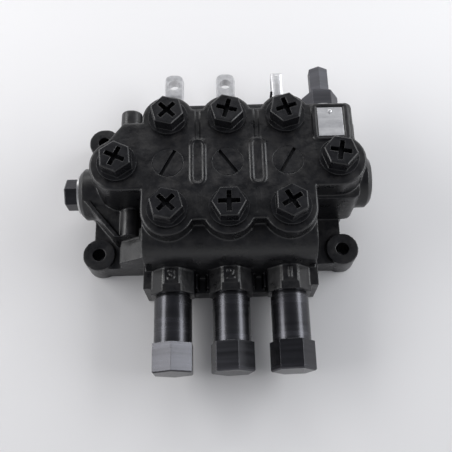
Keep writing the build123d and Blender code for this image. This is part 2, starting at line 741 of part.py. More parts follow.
# Centring gear on each spool: a collar stud between two springs, inside a cap
cap_inner_end = cap_end - cap_end_wall
washer_front = thread_floor + washer_thickness
collar_middle = (washer_front + cap_inner_end) / 2
collar_rear = collar_middle - stud_collar_thickness / 2
collar_front = collar_middle + stud_collar_thickness / 2
centring_spring = coil_spring((0, -1, 0), collar_rear - washer_front, centring_coil_radius, centring_wire,
                              centring_turns)
for number, x in enumerate(section_places):
    with BuildPart() as stud:
        with BuildSketch(towards_front(x, -spool_front_end, axis_z)):
            Circle(stud_radius)
        extrude(amount=collar_front + stud_tail_length - spool_front_end)
        with BuildSketch(towards_rear(x, -spool_front_end, axis_z)):
            Circle(stud_thread_radius)
        extrude(amount=stud_thread_length)
        with BuildSketch(towards_front(x, -collar_rear, axis_z)):
            Circle(stud_collar_radius)
        extrude(amount=stud_collar_thickness)
        with BuildSketch(towards_rear(x, -collar_front - stud_tail_length, axis_z)):
            RegularPolygon(stud_socket_across / 2, 6, major_radius=False)
        extrude(amount=stud_socket_depth, mode=Mode.SUBTRACT)
    save(stud.part, f"centring_stud_{number + 1}")
    inner_spring = centring_spring.moved(Location((x, -washer_front, axis_z)))
    save(inner_spring, f"centring_spring_inner_{number + 1}")
    outer_spring = centring_spring.moved(Location((x, -collar_front, axis_z)))
    save(outer_spring, f"centring_spring_outer_{number + 1}")
    with BuildPart() as spring_cap:
        with BuildSketch(towards_front(x, -boss_face, axis_z)):
            Circle(cap_neck_radius)
        extrude(amount=cap_neck_length)
        with BuildSketch(towards_front(x, -boss_face - cap_neck_length, axis_z)):
            Circle(cap_radius)
        extrude(amount=cap_end - cap_hex_length - boss_face - cap_neck_length)
        with BuildSketch(towards_front(x, cap_hex_length - cap_end, axis_z)):
            RegularPolygon(cap_hex_across / 2, 6, major_radius=False, rotation=cap_turns[number])
        extrude(amount=cap_hex_length)
        chamfer(spring_cap.edges().group_by(Axis.Y)[0], length=cap_edge_chamfer)
        with BuildSketch(towards_rear(x, -boss_face, axis_z)):
            Circle(cap_thread_radius)
        extrude(amount=cap_thread_length)
        with BuildSketch(towards_rear(x, -cap_inner_end, axis_z)):
            Circle(cap_bore_radius)
        extrude(amount=cap_inner_end - washer_front, mode=Mode.SUBTRACT)
    save(spring_cap.part, f"spring_cap_{number + 1}")
with BuildPart() as spring_washers:
    for x in section_places:
        with BuildSketch(towards_front(x, -thread_floor, axis_z)):
            Circle(cap_thread_radius)
            Circle(stud_radius + cap_edge_chamfer, mode=Mode.SUBTRACT)
        extrude(amount=washer_thickness)
save(spring_washers.part, "spring_washers")

# Seals in the casting, wipers at the rear and the plate that holds them
for name, side in (("spool_seals_front", -1), ("spool_seals_rear", 1)):
    with BuildPart() as spool_seals:
        for x in section_places:
            with BuildSketch(towards_rear(x, side * seal_place - seal_width / 2, axis_z)):
                Circle(spool_radius + seal_depth)
                Circle(spool_radius + thread_clearance, mode=Mode.SUBTRACT)
            extrude(amount=seal_width)
    save(spool_seals.part, name)
with BuildPart() as spool_wipers:
    for x in section_places:
        with BuildSketch(towards_front(x, rear_face, axis_z)):
            Circle(spool_radius + wiper_depth)
            Circle(spool_radius + thread_clearance, mode=Mode.SUBTRACT)
        extrude(amount=wiper_width)
save(spool_wipers.part, "spool_wipers")
with BuildPart() as retainer:
    with BuildSketch(towards_rear(0, rear_face, axis_z)):
        RectangleRounded(2 * (section_pitch + retainer_overhang), 2 * retainer_half_height, block_corner_round)
        with Locations(*[(x, 0) for x in section_places]):
            Circle(spool_radius + retainer_hole_clearance, mode=Mode.SUBTRACT)
        with Locations(*[(x, axis_z - z) for x, z in retainer_screws]):
            Circle(retainer_screw_radius + seat_clearance, mode=Mode.SUBTRACT)
    extrude(amount=retainer_thickness)
save(retainer.part, "seal_retainer")
with BuildPart() as retainer_bolts:
    for x, z in retainer_screws:
        with BuildSketch(towards_front(x, rear_face + retainer_thickness, z)):
            Circle(retainer_screw_radius)
        extrude(amount=retainer_screw_length)
        with BuildSketch(towards_rear(x, rear_face + retainer_thickness, z)):
            Circle(retainer_head_radius)
        extrude(amount=retainer_head_height)
        with BuildSketch(towards_front(x, rear_face + retainer_thickness + retainer_head_height, z)):
            RegularPolygon(retainer_socket_across / 2, 6, major_radius=False)
        extrude(amount=retainer_socket_depth, mode=Mode.SUBTRACT)
save(retainer_bolts.part, "retainer_screws")
with BuildPart() as locating_pin:
    with BuildSketch(Plane(origin=(*pin_place, rear_block_top - locating_pin_depth))):
        Circle(locating_pin_radius)
    extrude(amount=locating_pin_depth + locating_pin_height)
save(locating_pin.part, "locating_pin")

# Steel plugs in the end bosses, the left one with a washer under its hexagon
with BuildPart() as side_washer:
    with BuildSketch(towards_left(-left_boss_face, 0, axis_z)):
        Circle(side_seal_outer)
        Circle(side_plug_radius + seat_clearance, mode=Mode.SUBTRACT)
    extrude(amount=side_seal_thickness)
save(side_washer.part, "side_plug_washer")
with BuildPart() as left_plug:
    with BuildSketch(towards_left(-left_boss_face - side_seal_thickness, 0, axis_z)):
        RegularPolygon(side_plug_hex_across / 2, 6, major_radius=False, rotation=30)
    extrude(amount=side_plug_hex_height)
    chamfer(left_plug.edges().group_by(Axis.X)[0], length=cap_edge_chamfer)
    with BuildSketch(towards_right(-left_boss_face - side_seal_thickness, 0, axis_z)):
        Circle(side_plug_radius)
    extrude(amount=side_plug_length)
save(left_plug.part, "side_plug_left")
with BuildPart() as right_plug:
    with BuildSketch(towards_left(right_boss_face, 0, right_gallery_height)):
        Circle(side_plug_radius)
        RegularPolygon(side_socket_across / 2, 6, major_radius=False, mode=Mode.SUBTRACT)
    extrude(amount=side_socket_depth)
    with BuildSketch(towards_left(right_boss_face - side_socket_depth, 0, right_gallery_height)):
        Circle(side_plug_radius)
    extrude(amount=side_plug_length - side_socket_depth)
save(right_plug.part, "side_plug_right")

# Relief valve: cartridge, poppet, spring, spring seat, adjusting screw and cap
relief_nut_start = relief_face + relief_washer_thickness
relief_nut_end = relief_nut_start + relief_nut_length
relief_spring_floor = relief_seat_place + relief_guide_length
relief_spring_start = relief_spring_floor + seat_clearance + relief_poppet_head
cap_hollow_radius = relief_cap_across / 2 - relief_cap_wall
guide_radius = relief_poppet_radius + running_clearance
with BuildPart() as relief_body:
    with BuildSketch(towards_rear(relief_reach, relief_seat_place, relief_axis_height)):
        Circle(relief_nose_radius)
    extrude(amount=relief_chamber_length)
    with BuildSketch(towards_rear(relief_reach, relief_thread_floor, relief_axis_height)):
        Circle(relief_bore_radius)
    extrude(amount=relief_nut_start - relief_thread_floor)
    with BuildSketch(towards_rear(relief_reach, relief_nut_start, relief_axis_height)):
        RegularPolygon(relief_nut_across / 2, 6, major_radius=False)
    extrude(amount=relief_nut_length)
    chamfer(relief_body.edges().group_by(Axis.Y)[-1], length=relief_nut_chamfer)
    with BuildSketch(towards_rear(relief_reach, relief_nut_end, relief_axis_height)):
        Circle(cap_hollow_radius - thread_clearance)
    extrude(amount=relief_neck_length)
    with BuildSketch(towards_rear(relief_reach, relief_seat_place, relief_axis_height)):
        Circle(relief_hole_radius)
    extrude(amount=relief_seat_length, mode=Mode.SUBTRACT)
    with BuildSketch(towards_rear(relief_reach, relief_seat_place + relief_seat_length, relief_axis_height)):
        Circle(guide_radius)
    extrude(amount=relief_guide_length - relief_seat_length, mode=Mode.SUBTRACT)
    with BuildSketch(towards_rear(relief_reach, relief_spring_floor, relief_axis_height)):
        Circle(relief_spring_bore_radius)
    extrude(amount=relief_nut_end - relief_end_wall - relief_spring_floor, mode=Mode.SUBTRACT)
    with BuildSketch(towards_front(relief_reach, relief_nut_end + relief_neck_length, relief_axis_height)):
        Circle(relief_screw_radius + thread_clearance)
    extrude(amount=relief_neck_length + relief_end_wall, mode=Mode.SUBTRACT)
    with BuildSketch(towards_right(relief_reach, relief_seat_place + relief_seat_length, relief_axis_height)):
        with Locations((2 * relief_drain_radius, 0)):
            Circle(relief_drain_radius)
    extrude(amount=relief_nose_radius, both=True, mode=Mode.SUBTRACT)
save(relief_body.part, "relief_cartridge")
with BuildPart() as relief_washer:
    with BuildSketch(towards_rear(relief_reach, relief_face, relief_axis_height)):
        Circle(relief_washer_radius)
        Circle(relief_bore_radius + seat_clearance, mode=Mode.SUBTRACT)
    extrude(amount=relief_washer_thickness)
save(relief_washer.part, "relief_washer")
with BuildPart() as relief_poppet:
    with BuildSketch(towards_rear(relief_reach, relief_seat_place + relief_seat_length + relief_poppet_gap,
                                  relief_axis_height)):
        Circle(relief_poppet_radius)
    extrude(amount=relief_guide_length - relief_seat_length)
    chamfer(relief_poppet.edges().group_by(Axis.Y)[0], length=relief_poppet_radius - relief_hole_radius)
    with BuildSketch(towards_rear(relief_reach, relief_spring_floor + seat_clearance, relief_axis_height)):
        Circle(relief_spring_bore_radius - seat_clearance)
    extrude(amount=relief_poppet_head)
save(relief_poppet.part, "relief_poppet")
relief_spring = coil_spring((0, 1, 0), relief_seat_plate_place - relief_spring_start, relief_coil_radius,
                            relief_wire, relief_turns)
save(relief_spring.moved(Location((relief_reach, relief_spring_start, relief_axis_height))), "relief_spring")
screw_start = relief_seat_plate_place + relief_seat_plate_thickness
with BuildPart() as relief_spring_seat:
    with BuildSketch(towards_rear(relief_reach, relief_seat_plate_place, relief_axis_height)):
        Circle(relief_spring_bore_radius - seat_clearance)
    extrude(amount=relief_seat_plate_thickness)
save(relief_spring_seat.part, "relief_spring_seat")
with BuildPart() as relief_screw:
    with BuildSketch(towards_rear(relief_reach, screw_start, relief_axis_height)):
        Circle(relief_screw_radius)
    extrude(amount=relief_screw_end - screw_start)
    with BuildSketch(towards_front(relief_reach, relief_screw_end, relief_axis_height)):
        RegularPolygon(relief_screw_socket_across / 2, 6, major_radius=False)
    extrude(amount=relief_screw_socket_depth, mode=Mode.SUBTRACT)
save(relief_screw.part, "relief_adjusting_screw")
with BuildPart() as relief_cap:
    with BuildSketch(towards_rear(relief_reach, relief_nut_end, relief_axis_height)):
        RegularPolygon(relief_cap_across / 2, 6, major_radius=False, rotation=30)
    extrude(amount=relief_cap_end - relief_nut_end)
    chamfer(relief_cap.edges().group_by(Axis.Y)[-1], length=cap_edge_chamfer)
    with BuildSketch(towards_rear(relief_reach, relief_nut_end, relief_axis_height)):
        Circle(cap_hollow_radius)
    extrude(amount=relief_cap_end - relief_cap_end_wall - relief_nut_end, mode=Mode.SUBTRACT)
    with BuildSketch(towards_right(relief_reach, relief_cap_end - relief_cap_end_wall / 2, relief_axis_height)):
        Circle(relief_seal_hole_radius)
    extrude(amount=relief_cap_across, both=True, mode=Mode.SUBTRACT)
save(relief_cap.part, "relief_cap")

# Name plate on the relief valve block, held by one rivet
with BuildPart() as name_plate:
    with BuildSketch(Plane(origin=(relief_reach, plate_centre, deck_height))):
        Rectangle(plate_width, plate_length)
    extrude(amount=plate_thickness)
    with BuildSketch(Plane(origin=(*rivet_place, deck_height))):
        Circle(rivet_shank_radius)
    extrude(amount=plate_thickness, mode=Mode.SUBTRACT)
save(name_plate.part, "name_plate")
with BuildPart() as rivet:
    with BuildSketch(Plane(origin=(*rivet_place, deck_height - rivet_depth))):
        Circle(rivet_shank_radius)
    extrude(amount=rivet_depth + plate_thickness)
    with BuildSketch(Plane(origin=(*rivet_place, plate_top))):
        Circle(rivet_radius)
    extrude(amount=rivet_height, taper=30)
save(rivet.part, "name_plate_rivet")
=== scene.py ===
"""Looks of a three-section directional control valve, with the studio round it."""

import json
import math

import bmesh
import bpy
from bpy.props import FloatProperty, FloatVectorProperty, IntProperty, PointerProperty
from mathutils import Matrix, Vector
from mathutils.bvhtree import BVHTree

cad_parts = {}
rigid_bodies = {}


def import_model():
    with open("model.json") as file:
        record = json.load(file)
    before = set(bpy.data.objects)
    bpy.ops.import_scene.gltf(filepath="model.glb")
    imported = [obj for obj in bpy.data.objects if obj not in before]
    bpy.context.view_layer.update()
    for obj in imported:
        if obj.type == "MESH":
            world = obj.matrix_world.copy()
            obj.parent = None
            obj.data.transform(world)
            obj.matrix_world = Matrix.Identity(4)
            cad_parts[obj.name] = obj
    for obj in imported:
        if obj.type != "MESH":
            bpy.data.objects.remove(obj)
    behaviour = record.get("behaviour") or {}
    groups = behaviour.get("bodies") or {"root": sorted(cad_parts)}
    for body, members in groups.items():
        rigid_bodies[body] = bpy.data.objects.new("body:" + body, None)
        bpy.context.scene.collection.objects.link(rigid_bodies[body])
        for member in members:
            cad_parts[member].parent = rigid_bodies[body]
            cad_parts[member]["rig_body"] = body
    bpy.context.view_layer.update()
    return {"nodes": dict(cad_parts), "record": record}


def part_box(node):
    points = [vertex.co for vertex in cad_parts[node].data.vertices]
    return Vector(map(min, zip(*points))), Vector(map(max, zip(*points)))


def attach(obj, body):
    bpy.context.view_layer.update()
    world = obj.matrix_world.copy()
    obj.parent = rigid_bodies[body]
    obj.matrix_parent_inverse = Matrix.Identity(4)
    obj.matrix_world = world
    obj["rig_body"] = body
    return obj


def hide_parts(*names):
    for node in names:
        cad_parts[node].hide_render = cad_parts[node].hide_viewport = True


bl_info = {
    "name": "Directional control valve",
    "version": (1, 0, 0),
    "blender": (4, 5, 0),
    "location": "3D View > Sidebar > Valve",
    "description": "Dresses a directional control valve: cast skin, finishes, soft rims and a studio",
    "category": "Object",
}

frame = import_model()
NODES = frame["nodes"]
SLOTS = {row["node"]: row["material_slot"] for row in frame["record"]["subparts"]}
MM = 0.001
WELD_DISTANCE = 0.001 * MM

SECTIONS = [sum(corner.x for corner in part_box(f"spring_cap_{number}")) / 2 for number in (1, 2, 3)]
SECTION_NUMBERS = ("3", "2", "1")
BOSS_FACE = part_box("valve_body")[0].y
BODY_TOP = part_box("valve_body")[1].z

CAMERA_PLACE = Vector((-2.654, -183.428, 425.678)) * MM
CAMERA_AZIMUTH = math.radians(0.16)
CAMERA_ELEVATION = math.radians(68.6)
CAMERA_ROLL = math.radians(-1.33)
CAMERA_LENS = 50.24
SENSOR_WIDTH = 36.0

LIGHT_AIM = (0.0, 0.0, 0.03)
SIDE_LIGHT_REACH = 1.0
SIDE_LIGHT_SIZE = (1.3, 0.4)
REAR_LIGHT_PLACE = (0.0, 1.0, 0.75)
REAR_LIGHT_SIZE = (1.2, 0.35)
HORIZON = (0.86, 0.87, 0.88, 1.0)
ZENITH = (0.15, 0.155, 0.175, 1.0)


class Net:
    """Adds nodes to one tree and joins them up."""

    def __init__(self, tree):
        self.tree = tree

    def feed(self, socket, value):
        """Links a socket to another one, or gives it a constant."""
        if isinstance(value, bpy.types.NodeSocket):
            self.tree.links.new(value, socket)
        else:
            socket.default_value = value

    def add(self, kind, inputs=None, **settings):
        node = self.tree.nodes.new(kind)
        node.location = (180 * (len(self.tree.nodes) % 8), -220 * (len(self.tree.nodes) // 8))
        for key, value in settings.items():
            setattr(node, key, value)
        for key, value in (inputs or {}).items():
            self.feed(node.inputs[key], value)
        return node

    def math(self, operation, *values, clamp=False):
        node = self.add("ShaderNodeMath", operation=operation, use_clamp=clamp)
        for index, value in enumerate(values):
            self.feed(node.inputs[index], value)
        return node.outputs[0]

    def noise(self, place, scale, detail=3.0, rough=0.5):
        return self.add("ShaderNodeTexNoise", {"Vector": place, "Scale": scale, "Detail": detail,
                                               "Roughness": rough}).outputs["Fac"]

    def span(self, value, low, high, to_low=0.0, to_high=1.0):
        return self.add("ShaderNodeMapRange", {"Value": value, "From Min": low, "From Max": high,
                                               "To Min": to_low, "To Max": to_high}).outputs["Result"]

    def mix(self, factor, a, b):
        node = self.add("ShaderNodeMix", data_type="RGBA")
        for index, value in ((0, factor), (6, a), (7, b)):
            self.feed(node.inputs[index], value)
        return node.outputs[2]

    def place(self):
        return self.add("ShaderNodeTexCoord").outputs["Object"]


def make_group(name, inputs, outputs):
    """A node group with values in and out; returns (tree, net, input node, output node)."""
    tree = bpy.data.node_groups.new(name, "ShaderNodeTree")
    for title, default in inputs:
        socket = tree.interface.new_socket(title, in_out="INPUT", socket_type="NodeSocketFloat")
        socket.default_value = default
    for title in outputs:
        tree.interface.new_socket(title, in_out="OUTPUT", socket_type="NodeSocketFloat")
    net = Net(tree)
    return tree, net, net.add("NodeGroupInput"), net.add("NodeGroupOutput")


def cast_grain_group():
    """Sand-cast texture under paint: orange peel, fine grain and slow waves."""
    tree, net, given, out = make_group(
        "Cast Grain", [("Peel Scale", 520.0), ("Grain Scale", 1900.0), ("Grain Share", 0.35)],
        ["Height", "Mottle"])
    place = net.place()
    peel = net.noise(place, given.outputs["Peel Scale"], 2.0, 0.45)
    grain = net.noise(place, given.outputs["Grain Scale"], 2.0, 0.6)
    waves = net.noise(place, 90.0, 2.0)
    fine = net.math("ADD", peel, net.math("MULTIPLY", grain, given.outputs["Grain Share"]))
    net.feed(out.inputs["Height"], net.math("ADD", fine, net.math("MULTIPLY", waves, 0.8)))
    net.feed(out.inputs["Mottle"], net.noise(place, 140.0, 5.0, 0.62))
    return tree


def dust_group():
    """Dust that settles on faces that look up, thicker in patches."""
    tree, net, given, out = make_group("Settled Dust", [("Amount", 0.3), ("Patch Scale", 160.0)], ["Mask"])
    normal = net.add("ShaderNodeNewGeometry").outputs["Normal"]
    up = net.add("ShaderNodeSeparateXYZ", {"Vector": normal}).outputs["Z"]
    facing = net.span(up, 0.55, 1.0)
    place = net.place()
    patches = net.span(net.noise(place, given.outputs["Patch Scale"], 6.0, 0.65), 0.42, 0.74)
    specks = net.span(net.noise(place, 2600.0, 1.0), 0.66, 0.76)
    dirt = net.math("MAXIMUM", patches, net.math("MULTIPLY", specks, 0.7))
    mask = net.math("MULTIPLY", net.math("MULTIPLY", facing, dirt), given.outputs["Amount"], clamp=True)
    net.feed(out.inputs["Mask"], mask)
    return tree


def worn_edge_group():
    """Rims where the finish is rubbed bright."""
    tree, net, given, out = make_group("Worn Edge", [("Width", 0.0008), ("Breakup", 0.5)], ["Mask"])
    rounded = net.add("ShaderNodeBevel", {"Radius": given.outputs["Width"]}, samples=4).outputs["Normal"]
    plain = net.add("ShaderNodeNewGeometry").outputs["Normal"]
    along = net.add("ShaderNodeVectorMath", {0: rounded, 1: plain}, operation="DOT_PRODUCT").outputs["Value"]
    rim = net.span(along, 0.985, 0.86)
    broken = net.span(net.noise(net.place(), 420.0, 4.0, 0.6), 0.35, 0.65)
    keep = net.math("ADD", net.math("MULTIPLY", broken, given.outputs["Breakup"]),
                    net.math("SUBTRACT", 1.0, given.outputs["Breakup"]))
    net.feed(out.inputs["Mask"], net.math("MULTIPLY", rim, keep, clamp=True))
    return tree


def turned_lines_group():
    """Fine lines left by a lathe on a piece whose axis runs along Y."""
    tree, net, given, out = make_group("Turned Lines", [("Lines", 1500.0)], ["Height", "Streak"])
    parts = net.add("ShaderNodeSeparateXYZ", {"Vector": net.place()})
    across, upright = (net.math("MULTIPLY", parts.outputs[axis], 0.04) for axis in ("X", "Z"))
    stretched = net.add("ShaderNodeCombineXYZ",
                        {"X": across, "Y": parts.outputs["Y"], "Z": upright}).outputs[0]
    net.feed(out.inputs["Height"], net.noise(stretched, given.outputs["Lines"], 3.0, 0.6))
    net.feed(out.inputs["Streak"], net.noise(stretched, 260.0, 3.0))
    return tree


GROUPS = {}
MATERIALS = {}


def use(net, name, **inputs):
    """Places a shared effect in a material with its own values."""
    node = net.add("ShaderNodeGroup", node_tree=GROUPS[name])
    for key, value in inputs.items():
        net.feed(node.inputs[key.replace("_", " ")], value)
    return node.outputs


def new_material(name, **constants):
    """A material with one Principled shader; constants go straight on its sockets."""
    material = bpy.data.materials.new(name)
    material.use_nodes = True
    shader = material.node_tree.nodes["Principled BSDF"]
    for key, value in constants.items():
        shader.inputs[key.replace("_", " ")].default_value = value
    return material, Net(material.node_tree), shader


def bump(net, shader, height, distance, strength):
    node = net.add("ShaderNodeBump", {"Height": height, "Distance": distance, "Strength": strength})
    net.feed(shader.inputs["Normal"], node.outputs["Normal"])


def grey(value, blue=1.0):
    return (value, value, value * blue, 1.0)


def black_casting_paint(paint):
    material, net, shader = new_material("black_casting_paint", IOR=1.5)
    grain = use(net, "Cast Grain", Peel_Scale=520.0, Grain_Scale=1900.0, Grain_Share=0.4)
    dust = use(net, "Settled Dust", Amount=0.28, Patch_Scale=150.0)["Mask"]
    worn = use(net, "Worn Edge", Width=0.0011, Breakup=0.6)["Mask"]
    dark = tuple(0.62 * share for share in paint)
    colour = net.mix(net.span(grain["Mottle"], 0.35, 0.65), (*dark, 1.0), (*paint, 1.0))
    colour = net.mix(net.math("MULTIPLY", worn, 0.35), colour, (0.035, 0.036, 0.042, 1.0))
    colour = net.mix(dust, colour, (0.06, 0.055, 0.052, 1.0))
    rough = net.span(grain["Mottle"], 0.3, 0.7, 0.24, 0.4)
    net.feed(shader.inputs["Base Color"], colour)
    net.feed(shader.inputs["Roughness"], net.math("ADD", rough, net.math("MULTIPLY", dust, 0.5)))
    bump(net, shader, grain["Height"], 0.00022, 0.55)
    return material


def black_plastic():
    material, net, shader = new_material("black_plastic", IOR=1.5)
    grain = use(net, "Cast Grain", Peel_Scale=300.0, Grain_Scale=2600.0, Grain_Share=0.5)
    dust = use(net, "Settled Dust", Amount=0.12, Patch_Scale=260.0)["Mask"]
    worn = use(net, "Worn Edge", Width=0.0005, Breakup=0.45)["Mask"]
    colour = net.mix(net.span(grain["Mottle"], 0.3, 0.7), grey(0.004, 1.2), grey(0.007, 1.25))
    colour = net.mix(net.math("MULTIPLY", worn, 0.5), colour, grey(0.06, 1.1))
    colour = net.mix(dust, colour, grey(0.06))
    net.feed(shader.inputs["Base Color"], colour)
    net.feed(shader.inputs["Roughness"], net.span(grain["Mottle"], 0.3, 0.7, 0.2, 0.36))
    bump(net, shader, grain["Height"], 0.00006, 0.5)
    return material


def black_oxide(name, tone, rough):
    material, net, shader = new_material(name, Metallic=0.9, IOR=1.6)
    lines = use(net, "Turned Lines", Lines=1700.0)
    worn = use(net, "Worn Edge", Width=0.0005, Breakup=0.5)["Mask"]
    dust = use(net, "Settled Dust", Amount=0.1, Patch_Scale=220.0)["Mask"]
    colour = net.mix(net.span(lines["Streak"], 0.3, 0.7), grey(tone * 0.7, 1.1), grey(tone * 1.2, 1.12))
    colour = net.mix(net.math("MULTIPLY", worn, 0.6), colour, grey(0.3, 1.04))
    colour = net.mix(dust, colour, grey(0.12))
    net.feed(shader.inputs["Base Color"], colour)
    net.feed(shader.inputs["Roughness"], net.span(lines["Streak"], 0.25, 0.75, *rough))
    bump(net, shader, lines["Height"], 0.00003, 0.35)
    return material


def bare_steel(name, dull, bright, rough, blotch=240.0):
    material, net, shader = new_material(name, Metallic=1.0)
    lines = use(net, "Turned Lines", Lines=2400.0)
    stain = net.noise(net.place(), blotch, 5.0, 0.6)
    net.feed(shader.inputs["Base Color"], net.mix(net.span(stain, 0.35, 0.68), dull, bright))
    net.feed(shader.inputs["Roughness"], net.span(lines["Streak"], 0.3, 0.7, *rough))
    bump(net, shader, lines["Height"], 0.00002, 0.3)
    return material


def seal_rubber():
    material, net, shader = new_material("seal_rubber")
    grain = use(net, "Cast Grain", Peel_Scale=900.0, Grain_Scale=3000.0, Grain_Share=0.5)
    net.feed(shader.inputs["Base Color"], net.mix(grain["Mottle"], grey(0.012), grey(0.022)))
    net.feed(shader.inputs["Roughness"], net.span(grain["Mottle"], 0.3, 0.7, 0.6, 0.85))
    bump(net, shader, grain["Height"], 0.00003, 0.4)
    return material


def make_materials(paint):
    """Every finish, named as the record's slots, with one of its own for the relief valve."""
    for name, build in (("Cast Grain", cast_grain_group), ("Settled Dust", dust_group),
                        ("Worn Edge", worn_edge_group), ("Turned Lines", turned_lines_group)):
        GROUPS[name] = build()
    MATERIALS.update({
        "black_casting": black_casting_paint(paint),
        "black_plastic": black_plastic(),
        "black_steel": black_oxide("black_oxide_steel", 0.06, (0.22, 0.3)),
        "relief_steel": black_oxide("relief_black_steel", 0.075, (0.34, 0.5)),
        "seal_rubber": seal_rubber(),
        "spring_steel": bare_steel("spring_steel", grey(0.32), grey(0.5), (0.25, 0.4)),
        "plate_aluminium": bare_steel("plate_aluminium", grey(0.78, 1.01), grey(0.88, 1.01), (0.3, 0.42)),
        "zinc_washer": bare_steel("zinc_washer", grey(0.5), grey(0.7), (0.3, 0.5)),
        "spool_steel": bare_steel("spool_steel", grey(0.55, 1.02), grey(0.72, 1.02), (0.28, 0.42), 300.0),
        "bright_steel": bare_steel("bright_steel", grey(0.5), grey(0.68), (0.25, 0.4)),
    })


def give(obj, finish):
    obj.data.materials.clear()
    obj.data.materials.append(MATERIALS[finish])


def add_object(name, data):
    obj = bpy.data.objects.new(name, data)
    bpy.context.scene.collection.objects.link(obj)
    return obj


def settle(draft, name):
    """A new object with the draft's mesh as its modifiers leave it; the draft is removed."""
    bpy.context.view_layer.update()
    mesh = bpy.data.meshes.new_from_object(draft.evaluated_get(bpy.context.evaluated_depsgraph_get()))
    bpy.data.objects.remove(draft)
    return add_object(name, mesh)


def dress(prefix, finish=None):
    """Stands a copy with soft rims in the place of each node whose name starts with the prefix."""
    names = [name for name in NODES if name.startswith(prefix)]
    if not names:
        raise RuntimeError(f"no node's name starts with {prefix}")
    for name in names:
        draft = add_object(f"{name}_draft", NODES[name].data.copy())
        weld = draft.modifiers.new("weld", "WELD")
        weld.merge_threshold = WELD_DISTANCE
        flat = draft.modifiers.new("flat", "DECIMATE")
        flat.decimate_type = "DISSOLVE"
        flat.angle_limit = math.radians(0.5)
        rims = draft.modifiers.new("rims", "BEVEL")
        rims.width = bpy.context.scene.valve_rims.rim_round
        rims.segments = 3
        rims.limit_method = "ANGLE"
        rims.angle_limit = math.radians(28)
        piece = settle(draft, f"{name}_dressed")
        give(piece, finish or SLOTS[name])
        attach(piece, NODES[name]["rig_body"])
        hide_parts(name)


class VALVE_PG_body(bpy.types.PropertyGroup):
    """Sizes and colour of the cast body's skin."""

    paint: FloatVectorProperty(
        name="Paint", description="Colour of the black paint", subtype="COLOR", size=3,
        default=(0.006, 0.006, 0.0075), min=0.0, max=1.0)
    edge_voxel: FloatProperty(
        name="Edge softness", description="Grid on which the casting's edges are rounded",
        default=0.5 * MM, min=0.3 * MM, max=2 * MM, unit="LENGTH", precision=5)
    soften: IntProperty(
        name="Soften", description="Rounds of smoothing on the casting's edges", default=5, min=0, max=30)
    face_share: FloatProperty(
        name="Face share", description="Share of faces kept in the finished skin", default=0.25,
        min=0.05, max=1.0, subtype="FACTOR")
    wave_height: FloatProperty(
        name="Wave height", description="Height of the slow waves of the cast surface",
        default=0.16 * MM, min=0.0, max=MM, unit="LENGTH", precision=5)
    wave_size: FloatProperty(
        name="Wave size", description="Width of the slow waves of the cast surface",
        default=6 * MM, min=MM, max=50 * MM, unit="LENGTH", precision=5)
    numeral_height: FloatProperty(
        name="Numeral height", description="Height of the raised section numbers",
        default=7 * MM, min=MM, max=20 * MM, unit="LENGTH", precision=5)
    numeral_setback: FloatProperty(
        name="Numeral setback", description="From the end bosses' face to the middle of the numbers",
        default=10.5 * MM, min=0.0, max=20 * MM, unit="LENGTH", precision=5)
    numeral_rise: FloatProperty(
        name="Numeral rise", description="How far the section numbers stand above their strip",
        default=0.8 * MM, min=0.1 * MM, max=2 * MM, unit="LENGTH", precision=5)


class VALVE_PG_rims(bpy.types.PropertyGroup):
    """Edges of the plugs, caps and plate."""

    rim_round: FloatProperty(
        name="Rim rounding", description="Rounding on the edges of caps, plugs and plate",
        default=0.3 * MM, min=0.0, max=2 * MM, unit="LENGTH", precision=5)


class VALVE_PG_stage(bpy.types.PropertyGroup):
    """Floor and light."""

    floor: FloatVectorProperty(
        name="Floor", description="Colour of the floor", subtype="COLOR", size=3,
        default=(0.87, 0.86, 0.865), min=0.0, max=1.0)
    side_power: FloatProperty(
        name="Side lights", description="Power of each long light at the sides", default=9.0, min=0.0,
        unit="POWER")
    rear_power: FloatProperty(
        name="Rear light", description="Power of the light behind", default=4.0, min=0.0, unit="POWER")


def numeral_mesh(text, looks):
    """A raised number as a mesh that lies in the XY plane round the origin."""
    curve = bpy.data.curves.new("numeral", "FONT")
    curve.body = text
    curve.size = looks.numeral_height / 0.72
    curve.extrude = looks.numeral_rise
    curve.bevel_depth = 0.12 * MM
    curve.offset = 0.25 * MM
    curve.align_x = curve.align_y = "CENTER"
    holder = settle(add_object("numeral_draft", curve), "numeral")
    mesh = holder.data
    bpy.data.objects.remove(holder)
    return mesh


